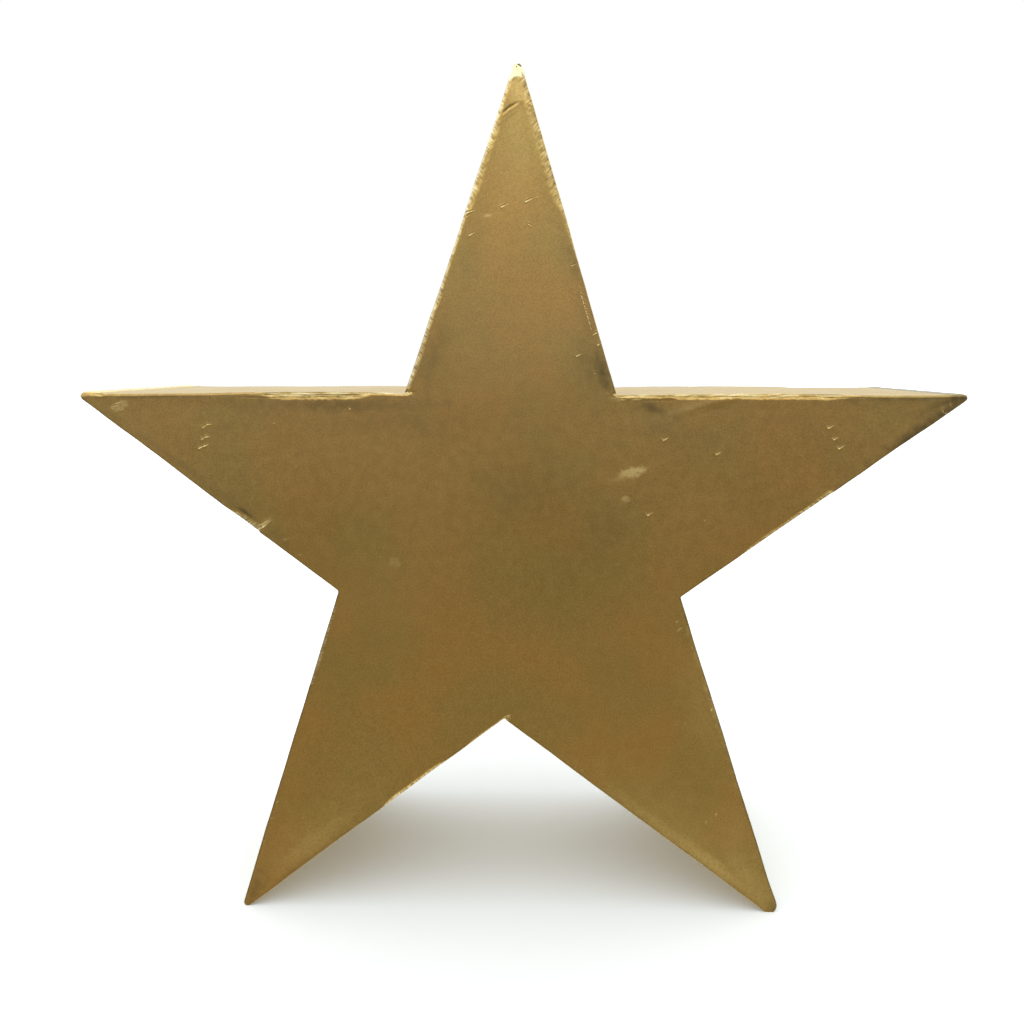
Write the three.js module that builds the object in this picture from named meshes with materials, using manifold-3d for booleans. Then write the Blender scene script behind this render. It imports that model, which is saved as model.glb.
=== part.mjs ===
import * as THREE from 'three';
import { mergeVertices } from 'three/addons/utils/BufferGeometryUtils.js';
import Module from 'manifold-3d';

// A hollow five-pointed star made of sheet brass, brazed along its seams and filed.
// Millimetres, +Z up. The front face looks along -Y. The origin lies on the ground,
// under the middle of the star's bounding box, halfway between front and back.
// The star stands on the flats of its two lower points.

// Sheet and overall size
const starReach = 161; // centre to the sharp corner of a point, before it is rounded
const starDepth = 90; // front face to back face
const sheet = 1.2; // thickness of the brass sheet
const gap = 0.3; // clearance that touching pieces keep

// Worn and filed shapes
const plateRound = 1.0; // radius of a plate's outer arris
const stripArris = 0.25; // chamfer on a side strip's long edges
const foldRound = 0.8; // outside radius of a side strip's fold
const footWear = 0.6; // how much of the lower points is worn flat

// Braze filler
const stripEnd = 9; // a strip stops this far along its edge from a point's sharp corner
const fillerEnd = 14; // the filler inside a point reaches this far
const beadStart = 15.5; // a seam bead starts this far from a point's sharp corner
const beadWidth = 2.4; // seam bead, measured square to the sheet
const beadRound = 0.8; // its rounded corners

// Vent hole through the back plate, which lets the hot air out during brazing
const ventRadius = 1.6;
const ventDrop = 30; // below the star's centre

// The star was cut by hand. extra moves a corner outwards, sway moves it clockwise
// round the star, and nose is the radius that a point is worn to.
const points = [
  { name: 'top', extra: 2.5, sway: 2, nose: 1.8 },
  { name: 'right', extra: 0, sway: -0.75, nose: 1.1 },
  { name: 'lower_right', extra: -0.4, sway: 0.5, nose: 2.3 },
  { name: 'lower_left', extra: 1.7, sway: -2.5, nose: 1.1 },
  { name: 'left', extra: -2.4, sway: -0.4, nose: 1.2 },
];
// valleys[i] lies between points[i] and the next point clockwise.
const valleys = [
  { name: 'upper_right', extra: -0.3, sway: 0 },
  { name: 'lower_right', extra: -0.6, sway: -0.25 },
  { name: 'bottom', extra: 0, sway: 1.1 },
  { name: 'lower_left', extra: 0, sway: 0.5 },
  { name: 'upper_left', extra: -0.5, sway: 0 },
];

const sides = points.length;
const turn = (2 * Math.PI) / sides;
const valleyReach = (starReach * Math.cos(turn)) / Math.cos(turn / 2);

// Straight steps that stand for each arc, and the spacing under which two vertices are one
const noseSteps = 8;
const foldSteps = 4;
const plateRoundSteps = 4;
const beadRoundSteps = 2;
const ventSteps = 24;
const weld = 1e-4;

// Outline in the XZ plane, drawn as Vector2(x, z)

const corner = (angle, reach, sway) => new THREE.Vector2(
  reach * Math.cos(angle) + sway * Math.sin(angle),
  reach * Math.sin(angle) - sway * Math.cos(angle),
);

points.forEach((point, i) => {
  point.at = corner(Math.PI / 2 - i * turn, starReach + point.extra, point.sway);
});
valleys.forEach((valley, i) => {
  valley.at = corner(Math.PI / 2 - (i + 0.5) * turn, valleyReach + valley.extra, valley.sway);
});

const direction = (from, to) => to.clone().sub(from).normalize();
const step = (from, along, distance) => from.clone().addScaledVector(along, distance);

// The square direction to `along` that leads into the sheet, towards the star's inside.
function inwardOf(along, from) {
  const square = new THREE.Vector2(-along.y, along.x);
  return square.dot(from) > 0 ? square.negate() : square;
}

// Where the line through a along u meets the line through b along v.
function crossing(a, u, b, v) {
  const between = b.clone().sub(a);
  return step(a, u, between.cross(v) / u.cross(v));
}

// Centre of the round that a corner gets, for a given radius.
function roundCentre(last, at, next, radius) {
  const u = direction(at, last);
  const v = direction(at, next);
  const half = Math.acos(u.dot(v)) / 2;
  const middle = u.clone().add(v).normalize();
  return { centre: step(at, middle, radius / Math.sin(half)), u, v, half };
}

// A closed outline whose corners { at, radius, steps } are turned into arcs.
function roundedOutline(corners) {
  const outline = [];
  corners.forEach((here, i) => {
    if (!here.radius) {
      outline.push(here.at.clone());
      return;
    }
    const last = corners[(i + corners.length - 1) % corners.length].at;
    const next = corners[(i + 1) % corners.length].at;
    const { centre, u, v, half } = roundCentre(last, here.at, next, here.radius);
    const tangent = here.radius / Math.tan(half);
    const start = step(here.at, u, tangent).sub(centre);
    const end = step(here.at, v, tangent).sub(centre);
    const sweep = Math.atan2(start.cross(end), start.dot(end));
    for (let k = 0; k <= here.steps; k += 1) {
      const spoke = start.clone().rotateAround(new THREE.Vector2(), (sweep * k) / here.steps);
      outline.push(spoke.add(centre));
    }
  });
  return outline;
}

// How the star stands: it leans until the worn noses of both lower points touch the ground

const valleyBefore = (i) => valleys[(i + sides - 1) % sides];

function noseCentre(i) {
  return roundCentre(valleyBefore(i).at, points[i].at, valleys[i].at, points[i].nose).centre;
}

function leanOntoBoth(left, right) {
  const across = noseCentre(right).sub(noseCentre(left));
  const smaller = points[left].nose - points[right].nose;
  return across.angle() + Math.asin(smaller / across.length());
}

const place = Object.fromEntries(points.map(({ name }, i) => [name, i]));
const lean = leanOntoBoth(place.lower_left, place.lower_right);
[...points, ...valleys].forEach(({ at }) => at.rotateAround(new THREE.Vector2(), -lean));

const rightmost = noseCentre(place.right).x + points[place.right].nose;
const leftmost = noseCentre(place.left).x - points[place.left].nose;
const ground = noseCentre(place.lower_right).y - points[place.lower_right].nose + footWear;
const origin = new THREE.Vector2((rightmost + leftmost) / 2, ground);

// The outline moved to the part's own frame
const standing = (outline) => outline.map((at) => at.clone().sub(origin));

// Solids

// Draws an outline upright and gives it a depth that starts at y = front and runs back.
// A round or chamfer takes material off the outline's edges and never adds any.
function upright(outline, front, depth, round = 0, roundSteps = 1) {
  const geometry = new THREE.ExtrudeGeometry(new THREE.Shape(standing(outline)), {
    depth: depth - 2 * round,
    bevelEnabled: round > 0,
    bevelThickness: round,
    bevelSize: round,
    bevelOffset: -round,
    bevelSegments: roundSteps,
    curveSegments: 1,
  });
  geometry.rotateX(Math.PI / 2);
  geometry.translate(0, front + depth - round, 0);
  return geometry;
}

const wasm = await Module();
wasm.setup();

function solidOf(geometry) {
  const bare = geometry.clone();
  bare.deleteAttribute('normal');
  bare.deleteAttribute('uv');
  const merged = mergeVertices(bare, weld);
  return new wasm.Manifold(new wasm.Mesh({
    numProp: 3,
    vertProperties: new Float32Array(merged.attributes.position.array),
    triVerts: new Uint32Array(merged.index.array),
  }));
}

function geometryOf(solid) {
  const mesh = solid.getMesh();
  const geometry = new THREE.BufferGeometry();
  geometry.setAttribute('position', new THREE.BufferAttribute(mesh.vertProperties, 3));
  geometry.setIndex(new THREE.BufferAttribute(mesh.triVerts, 1));
  geometry.computeVertexNormals();
  return geometry;
}

const frontFace = -starDepth / 2;
const backFace = starDepth / 2;
const insideFront = frontFace + sheet + gap;
const insideBack = backFace - sheet - gap;
const insideDepth = insideBack - insideFront;

// What lies above the ground, from y = front and back by depth.
function aboveGround(front, depth) {
  const reach = 3 * starReach;
  const block = new THREE.BoxGeometry(reach, depth, reach);
  block.translate(0, front + depth / 2, reach / 2);
  return solidOf(block);
}

// A star plate: a sheet twice as thick, rounded on both faces, loses its inner half.
function plateSolid(front, keepFrom) {
  const corners = [];
  points.forEach((point, i) => {
    corners.push({ at: point.at, radius: point.nose, steps: noseSteps });
    corners.push({ at: valleys[i].at, radius: foldRound, steps: foldSteps });
  });
  const thick = solidOf(upright(roundedOutline(corners), front, 2 * sheet, plateRound, plateRoundSteps));
  return thick.intersect(aboveGround(keepFrom, sheet));
}

function ventSolid() {
  const drill = new THREE.CylinderGeometry(ventRadius, ventRadius, 4 * sheet, ventSteps);
  drill.translate(-origin.x, backFace, -origin.y - ventDrop);
  return solidOf(drill);
}

// A side strip, folded at valley i, from one point to the next.
function stripOutline(i) {
  const fold = valleys[i].at;
  const ends = [points[i].at, points[(i + 1) % sides].at];
  const along = ends.map((end) => direction(fold, end));
  const inward = along.map((way) => inwardOf(way, fold));
  const outer = ends.map((end, k) => step(end, along[k], -stripEnd));
  const inner = outer.map((at, k) => step(at, inward[k], sheet));
  return roundedOutline([
    { at: outer[0] },
    { at: fold, radius: foldRound, steps: foldSteps },
    { at: outer[1] },
    { at: inner[1] },
    { at: crossing(inner[0], along[0], inner[1], along[1]), radius: foldRound + sheet, steps: foldSteps },
    { at: inner[0] },
  ]);
}

// The braze bead that runs along the inside of a side strip, against a plate.
function beadOutline(i) {
  const fold = valleys[i].at;
  const ends = [points[i].at, points[(i + 1) % sides].at];
  const along = ends.map((end) => direction(fold, end));
  const inward = along.map((way) => inwardOf(way, fold));
  const near = ends.map((end, k) => step(step(end, along[k], -beadStart), inward[k], sheet + gap));
  const far = near.map((at, k) => step(at, inward[k], beadWidth));
  const nearRound = foldRound + sheet + gap;
  return roundedOutline([
    { at: near[0] },
    { at: crossing(near[0], along[0], near[1], along[1]), radius: nearRound, steps: foldSteps },
    { at: near[1] },
    { at: far[1] },
    { at: crossing(far[0], along[0], far[1], along[1]), radius: nearRound + beadWidth, steps: foldSteps },
    { at: far[0] },
  ]);
}

// The filler in point i: a worn nose outside, a neck between the two strips' ends,
// and a wedge with a hollow face between the strips inside.
function fillerSolid(i) {
  const tip = points[i].at;
  const ways = [valleyBefore(i).at, valleys[i].at].map((valley) => direction(tip, valley));
  const inward = ways.map((way) => inwardOf(way, tip));
  const shoulder = ways.map((way) => step(tip, way, stripEnd - gap));
  const neck = shoulder.map((at, k) => step(at, inward[k], sheet + gap));
  const root = ways.map((way, k) => step(step(tip, way, fillerEnd), inward[k], sheet + gap));
  const hollow = step(tip, direction(tip, new THREE.Vector2()), fillerEnd - beadWidth);
  const face = new THREE.QuadraticBezierCurve(root[1], hollow, root[0]).getPoints(foldSteps);
  const outline = roundedOutline([
    { at: neck[0] },
    { at: shoulder[0] },
    { at: tip, radius: points[i].nose, steps: noseSteps },
    { at: shoulder[1] },
    { at: neck[1] },
    ...face.map((at) => ({ at })),
  ]);
  const whole = solidOf(upright(outline, insideFront, insideDepth));
  return whole.intersect(aboveGround(frontFace, starDepth));
}

// Materials: the sheet has a brown patina, the filed side walls and the filler are paler

const agedSheet = () => new THREE.MeshStandardMaterial({ color: 0x8f7340, roughness: 0.42, metalness: 1 });
const filedSheet = () => new THREE.MeshStandardMaterial({ color: 0xb99f66, roughness: 0.34, metalness: 1 });
const filler = () => new THREE.MeshStandardMaterial({ color: 0xcbb98a, roughness: 0.46, metalness: 1 });

const star = new THREE.Group();

function add(name, geometry, material) {
  const mesh = new THREE.Mesh(geometry, material);
  mesh.name = name;
  star.add(mesh);
}

const frontSolid = plateSolid(frontFace, frontFace);
const backSolid = plateSolid(backFace - 2 * sheet, backFace - sheet).subtract(ventSolid());
add('front_plate', geometryOf(frontSolid), agedSheet());
add('back_plate', geometryOf(backSolid), agedSheet());

valleys.forEach((valley, i) => {
  const strip = upright(stripOutline(i), insideFront, insideDepth, stripArris);
  const frontBead = upright(beadOutline(i), insideFront, beadWidth, beadRound, beadRoundSteps);
  const backBead = upright(beadOutline(i), insideBack - beadWidth, beadWidth, beadRound, beadRoundSteps);
  add(`side_strip_${valley.name}`, strip, filedSheet());
  add(`front_seam_${valley.name}`, frontBead, filler());
  add(`back_seam_${valley.name}`, backBead, filler());
});

points.forEach((point, i) => {
  add(`tip_braze_${point.name}`, geometryOf(fillerSolid(i)), filler());
});

export default star;
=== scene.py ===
"""The looks of a hollow star made of sheet brass, brazed along its seams and filed by hand.

Shapes are worked out in millimetres in the frame's own axes: x to the right, y to the back, z up.
The front face is the plane at the lowest y. make_piece() turns millimetres into the frame's metres.
"""

import math

import bpy
import numpy as np
from mathutils import Matrix, Vector
from mathutils.geometry import delaunay_2d_cdt


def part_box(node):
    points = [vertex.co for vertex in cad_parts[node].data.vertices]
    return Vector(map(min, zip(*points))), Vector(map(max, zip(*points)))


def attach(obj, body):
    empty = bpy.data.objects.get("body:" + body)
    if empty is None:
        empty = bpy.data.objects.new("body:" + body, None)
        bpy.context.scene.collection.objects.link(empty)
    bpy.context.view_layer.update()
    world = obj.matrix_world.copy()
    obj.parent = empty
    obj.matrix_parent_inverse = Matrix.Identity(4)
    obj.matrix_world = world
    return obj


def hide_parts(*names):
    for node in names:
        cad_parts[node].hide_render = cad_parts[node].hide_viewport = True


MM = 0.001
BODY = "root"

# Corners clockwise from the top, as the front is seen. Valley i follows tip i.
TIPS = ("top", "right", "lower_right", "lower_left", "left")
VALLEYS = ("upper_right", "lower_right", "bottom", "lower_left", "upper_left")

# The ten straight edges, each by its tip and its valley
TOP_LEFT, TOP_RIGHT = ("top", "upper_left"), ("top", "upper_right")
LEFT_ARM_TOP, RIGHT_ARM_TOP = ("left", "upper_left"), ("right", "upper_right")
LEFT_ARM_UNDER, RIGHT_ARM_UNDER = ("left", "lower_left"), ("right", "lower_right")
LEFT_LEG_OUTER, RIGHT_LEG_OUTER = ("lower_left", "lower_left"), ("lower_right", "lower_right")
LEFT_LEG_INNER, RIGHT_LEG_INNER = ("lower_left", "bottom"), ("lower_right", "bottom")

# Camera, fitted to the view from the front, a little right of the middle and above the side arms
CAMERA_PLACE = Vector((0.01727, -0.35821, 0.18857))
CAMERA_TURN = math.radians(3.2)
CAMERA_DIP = math.radians(2.45)
CAMERA_ROLL = math.radians(-1.12)
CAMERA_LENS = 32.74
CAMERA_SENSOR = 36
CAMERA_SHIFT = -0.1073

FLOOR_REACH = 6  # metres from the star to each side
FLOOR_COLOUR = (0.86, 0.86, 0.86, 1)

# Marks of the front sheet that have a place of their own
CREASE_HEIGHT = 272.8
CREASE_BOX = (np.array([-2.6, 269.5]), np.array([8.0, 277.5]))  # lowest and highest (x, z) round it
BUCKLE_HEIGHT = 0.2
SCUFF_CRISPNESS = 6  # how suddenly a scuff ends; a smear's is 2
SCUFF_RELIEF = 0.02
GRIME = 0.42  # how dark a sheet's rim is where it isn't filed

# Mesh fineness
GRID = 1.05  # spacing of the points on a sheet's face
FINE_GRID = 0.4  # spacing where a scuff or a crease has clear lines
# Room left free of grid points: inside the last ring, for both spacings, and round a hole
GRID_CLEAR, FINE_CLEAR, HOLE_CLEAR = 0.4, 0.2, 1
MARK_CLEAR = 0.1  # a mark's points stay this far inside the sheet
# How deep the rings of points lie inside the outline: dense where the edge is round
RINGS = (0.03, 0.1, 0.2) + tuple(0.33 + 0.155 * k for k in range(16))
RING_KEEP = 0.97  # a ring's point is dropped if it lies less deep than this share of the ring
EDGE_STEP = 0.55  # spacing along a sheet's edge
MARK_STEP = 0.2  # spacing in and around a mark
MARK_REACH = 1.9  # how far the fine points reach round a mark, in widths of the mark
LONG_EDGE = 20  # an outline segment over this length is one of the ten straight edges
ARC_STEPS = 10
HOLE_STEPS = 40
RIM_RINGS = (0.15, 0.3, 0.6)  # how far outside a hole's rim its rings of points lie
MOST_RISE, LEAST_SHEET = 0.35, 0.05  # limits for the height and the hollows of a sheet's marks
SAME_PLANE = 0.05  # points this close to a plane lie on it

# Layers of random height: (height, size, what is added to the seed) for each
SHEET_WAVES = ((0.13, 55, 0), (0.015, 13, 1))  # the sheet's soft waves
WAVES_SETTLE = 6  # the waves fade towards the edge over this distance
WOBBLE = ((0.16, 22, 0), (0.048, 5.5, 10))  # how far a hand-filed edge strays
ROUGHNESS = ((0.05, 1.1, 0), (0.05, 2.7, 1))  # the scuffed rim of a sheet
RAGGED = ((0.3, 2.4, 0), (0.2, 0.9, 50))  # the rims of smears, smudges and scuffs
SCALLOPS = ((0.14, 5, 40), (0.1, 1.1, 60))  # the inner border of a filed flat
WANDER = ((0.11, 14, 200), (0.06, 3.5, 210))  # the dark lines along the arms
WALL_WAVES = ((0.1, 34, 100), (0.02, 6, 110))
FILLER_LUMPS = ((0.1, 5, 160), (0.07, 1.8, 170))

# How far extra filler pushes the upper side of a tip out, in x and z, and how far round it
TIP_PUSH = {"top": (0, 0.7), "left": (-0.4, 0.5), "right": (0.3, 0.2), "lower_right": (0.45, 0)}
TIP_PUSH_REACH = 6
# Where the front sheet's edge is pushed up: (edge, distance from the tip where it starts, where it
# ends, softness of both ends, how far)
EDGE_LIFTS = ((LEFT_ARM_TOP, 52, 112, 12, 0.6), (RIGHT_ARM_TOP, 52, 115, 5, 0.36))
LIFT_REACH = 5  # how far into the sheet the push is felt
JUST_OUTSIDE = -1  # points this far outside an edge still belong to it

# Side strips and braze
STRIP_PROUD = 0.1  # how far a strip stands out past the sheets' edges
# Where a strip stands out further: (edge, how far, where it starts, where it ends, softness)
STRIP_LIFTS = {
    "upper_right": (RIGHT_ARM_TOP, 0.45, 42, 112, 5), "upper_left": (LEFT_ARM_TOP, 0.2, 60, 112, 8),
}
VALLEY_NEAR = 117  # an arm's straight edge ends about here, from its tip
STRIP_ARRIS = 0.22
STRIP_STEP = 1.6
WALL_POINTS, INSIDE_POINTS = 28, 10  # points across a strip's outer and inner face
STRIP_END = 9  # a strip stops this far from a tip's sharp corner
TIP_OVERLAP = 0.2
TIP_STEP = 0.7
TIP_LEVELS = 112  # rings of points from the front of a tip's filler to its back
FILLER_PROUD = 0.1
FILLER_END_ROUND = 0.25  # how much it is rounded off at the front and the back
FILLER_END = 14
SEAM_STEP = 0.9
JOINT_OVERLAP = 0.12  # how much longer than the CAD strip a strip is at its front and back


# ---------------------------------------------------------------- numbers

def smooth_noise(u, v, size, seed):
    """A random height from -1 to 1 that changes smoothly over about `size`."""
    cells = 64
    lattice = np.random.default_rng(seed).uniform(-1, 1, (cells, cells))
    u, v = np.broadcast_arrays(np.asarray(u, float) / size, np.asarray(v, float) / size)
    column, row = np.floor(u).astype(int), np.floor(v).astype(int)
    across, up = ease(u - column), ease(v - row)
    low = blend(corner_value(lattice, column, row), corner_value(lattice, column + 1, row), across)
    row = row + 1
    high = blend(corner_value(lattice, column, row), corner_value(lattice, column + 1, row), across)
    return blend(low, high, up)


def layered_noise(u, v, seed, layers):
    """Random heights of several sizes on top of one another."""
    return sum(height * smooth_noise(u, v, size, seed + more) for height, size, more in layers)


def corner_value(lattice, column, row):
    return lattice[column % len(lattice), row % len(lattice)]


def ease(t):
    return t * t * t * (t * (6 * t - 15) + 10)


def blend(a, b, share):
    return a + (b - a) * share


def between(value, low, high):
    """0 below low, 1 above high, and an even ramp with soft ends in between."""
    return ease(np.clip((value - low) / (high - low), 0, 1))


def inside_range(value, low, high, soft):
    """1 from low to high, 0 well outside."""
    return between(value, low - soft, low + soft) * (1 - between(value, high - soft, high + soft))


def hand_filed(points):
    """The points (x, z) where hand filing has left them. All pieces share these small errors."""
    x, z = points[:, 0], points[:, 1]
    moved = points.copy()
    for axis, seed in ((0, 11), (1, 12)):
        moved[:, axis] += layered_noise(x, z, seed, WOBBLE)
    for tip, push in TIP_PUSH.items():
        centre = CORNERS[2 * TIPS.index(tip)].centre
        near = np.exp(-(np.linalg.norm(points - centre, axis=1) / TIP_PUSH_REACH) ** 2)
        upper = between(z - centre[1], -1.5, 1.5)
        moved += (near * upper)[:, None] * push
    moved[:, 1] = np.maximum(moved[:, 1], 0)
    return moved


def lifted(points):
    """The front sheet's points (x, z) with the edge pushed up along the tops of the arms."""
    moved = hand_filed(points)
    for name, start, end, soft, lift in EDGE_LIFTS:
        along, depth = EDGES[name].measure(points)
        near = (1 - between(depth, 0, LIFT_REACH)) * (depth > JUST_OUTSIDE)
        share = inside_range(along, start, end, soft) * near
        moved -= lift * share[:, None] * EDGES[name].inward
    return moved


# ---------------------------------------------------------------- the star's outline

class Corner:
    """A corner of the outline: where two straight edges would meet, and the radius it is rounded to."""

    def __init__(self, at, radius, before, after):
        self.at = at
        self.radius = radius
        self.before = before
        self.after = after
        self.half = math.acos(float(np.clip(before @ after, -1, 1))) / 2
        self.middle = (before + after) / np.linalg.norm(before + after)
        self.centre = at + self.middle * radius / math.sin(self.half)
        self.tangent = radius / math.tan(self.half)

    def arc(self, steps):
        """Points round the corner, from the edge before it to the edge after it."""
        start = self.at + self.before * self.tangent - self.centre
        end = self.at + self.after * self.tangent - self.centre
        sweep = math.atan2(cross(start, end), start @ end)
        turns = [sweep * k / steps for k in range(steps + 1)]
        return np.array([self.centre + turned(start, angle) for angle in turns])


def cross(a, b):
    return float(a[0] * b[1] - a[1] * b[0])


def turned(v, angle):
    c, s = math.cos(angle), math.sin(angle)
    return np.array([c * v[0] - s * v[1], s * v[0] + c * v[1]])


def unit(v):
    return v / np.linalg.norm(v)


def read_outline():
    """The front plate's outline on its inner face, clockwise from the top, as points (x, z)."""
    spots = np.array([v.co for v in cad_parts["front_plate"].data.vertices]) / MM
    inner = spots[spots[:, 1] > spots[:, 1].max() - SAME_PLANE][:, [0, 2]]
    flat = np.unique(inner.round(3), axis=0)
    middle = (flat.min(0) + flat.max(0)) / 2
    angle = np.arctan2(flat[:, 0] - middle[0], flat[:, 1] - middle[1])
    return flat[np.argsort(angle)]


def find_corners(outline):
    """Ten corners, clockwise, a tip first."""
    following = np.roll(outline, -1, axis=0)
    long = np.linalg.norm(following - outline, axis=1) > LONG_EDGE
    edges = list(zip(outline[long], following[long]))
    corners = []
    for (a, b), (c, d) in zip(edges, edges[1:] + edges[:1]):
        along, onward = unit(b - a), unit(d - c)
        at = a + along * cross(c - a, onward) / cross(along, onward)
        half = math.acos(float(-along @ onward)) / 2
        corners.append(Corner(at, float(np.linalg.norm(b - at)) * math.tan(half), -along, onward))
    top = max(range(len(corners)), key=lambda i: corners[i].at[1])
    return corners[top:] + corners[:top]


def straight(a, b, spacing):
    """Points from a to b, both left out."""
    count = max(2, int(round(np.linalg.norm(b - a) / spacing)))
    share = np.arange(1, count)[:, None] / count
    return a + (b - a) * share


def trace_outline(corners, spacing):
    """The whole outline as points and the square direction at each that leads into the star."""
    points = []
    for here, after in zip(corners, corners[1:] + corners[:1]):
        arc = here.arc(ARC_STEPS)
        points.append(arc)
        points.append(straight(arc[-1], after.at + after.before * after.tangent, spacing))
    points = np.concatenate(points)
    along = np.roll(points, -1, axis=0) - np.roll(points, 1, axis=0)
    inward = np.stack([along[:, 1], -along[:, 0]], axis=1)
    return points, inward / np.linalg.norm(inward, axis=1)[:, None]


def depth_inside(points):
    """How far each point lies inside the outline, negative outside it."""
    best = np.full(len(points), np.inf)
    sign = np.ones(len(points))
    coarse, _ = trace_outline(CORNERS, LONG_EDGE)
    for a, b in zip(coarse, np.roll(coarse, -1, axis=0)):
        along = b - a
        share = np.clip((points - a) @ along / (along @ along), 0, 1)
        away = points - a - share[:, None] * along
        distance = np.linalg.norm(away, axis=1)
        closer = distance < best
        best[closer] = distance[closer]
        side = away @ np.array([along[1], -along[0]])
        sign[closer] = np.where(side[closer] >= 0, 1, -1)
    return best * sign


def read_vent():
    """Middle (x, z) and radius of the vent hole in the back plate."""
    spots = np.array([v.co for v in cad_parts["back_plate"].data.vertices])[:, [0, 2]] / MM
    rim = spots[depth_inside(spots) > LONG_EDGE]
    middle = (rim.min(0) + rim.max(0)) / 2
    return middle, float(np.linalg.norm(rim - middle, axis=1).max())


class Edge:
    """One of the ten straight edges, measured from its tip towards its valley."""

    def __init__(self, tip, valley):
        self.tip = tip
        self.along = unit(valley - tip)
        self.length = float(np.linalg.norm(valley - tip))
        square = np.array([self.along[1], -self.along[0]])
        self.inward = square if square @ (CENTRE - tip) > 0 else -square

    def measure(self, points):
        """Distances along the edge from the tip, and into the star from the edge."""
        offset = points - self.tip
        return offset @ self.along, offset @ self.inward

    def far_from(self, points):
        along, depth = self.measure(points)
        beyond = np.maximum(np.maximum(-along, along - self.length), 0)
        return np.hypot(beyond, depth)


# ---------------------------------------------------------------- marks on the sheets

STROKE_PITCH = 1.5  # from one stroke of a row to the next, in stroke lengths
# The two strokes of a V: how far each runs in x and z, in V sizes, and its width and depth
TICK = ((-0.6, 1, 0.34, 0.13), (1.8, 0.95, 0.36, 0.16))


def row(start, end, count, width, depth):
    """Short strokes one after the other from start to end."""
    run = np.subtract(end, start) / (STROKE_PITCH * count)
    return tuple((*(start + STROKE_PITCH * k * run), *run, width, depth) for k in range(count))


def ticks(*places):
    """V-shaped nicks, each with its foot at (x, z) and a size."""
    return tuple((x, z, right * size, up * size, width, depth)
                 for x, z, size in places for right, up, width, depth in TICK)


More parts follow.
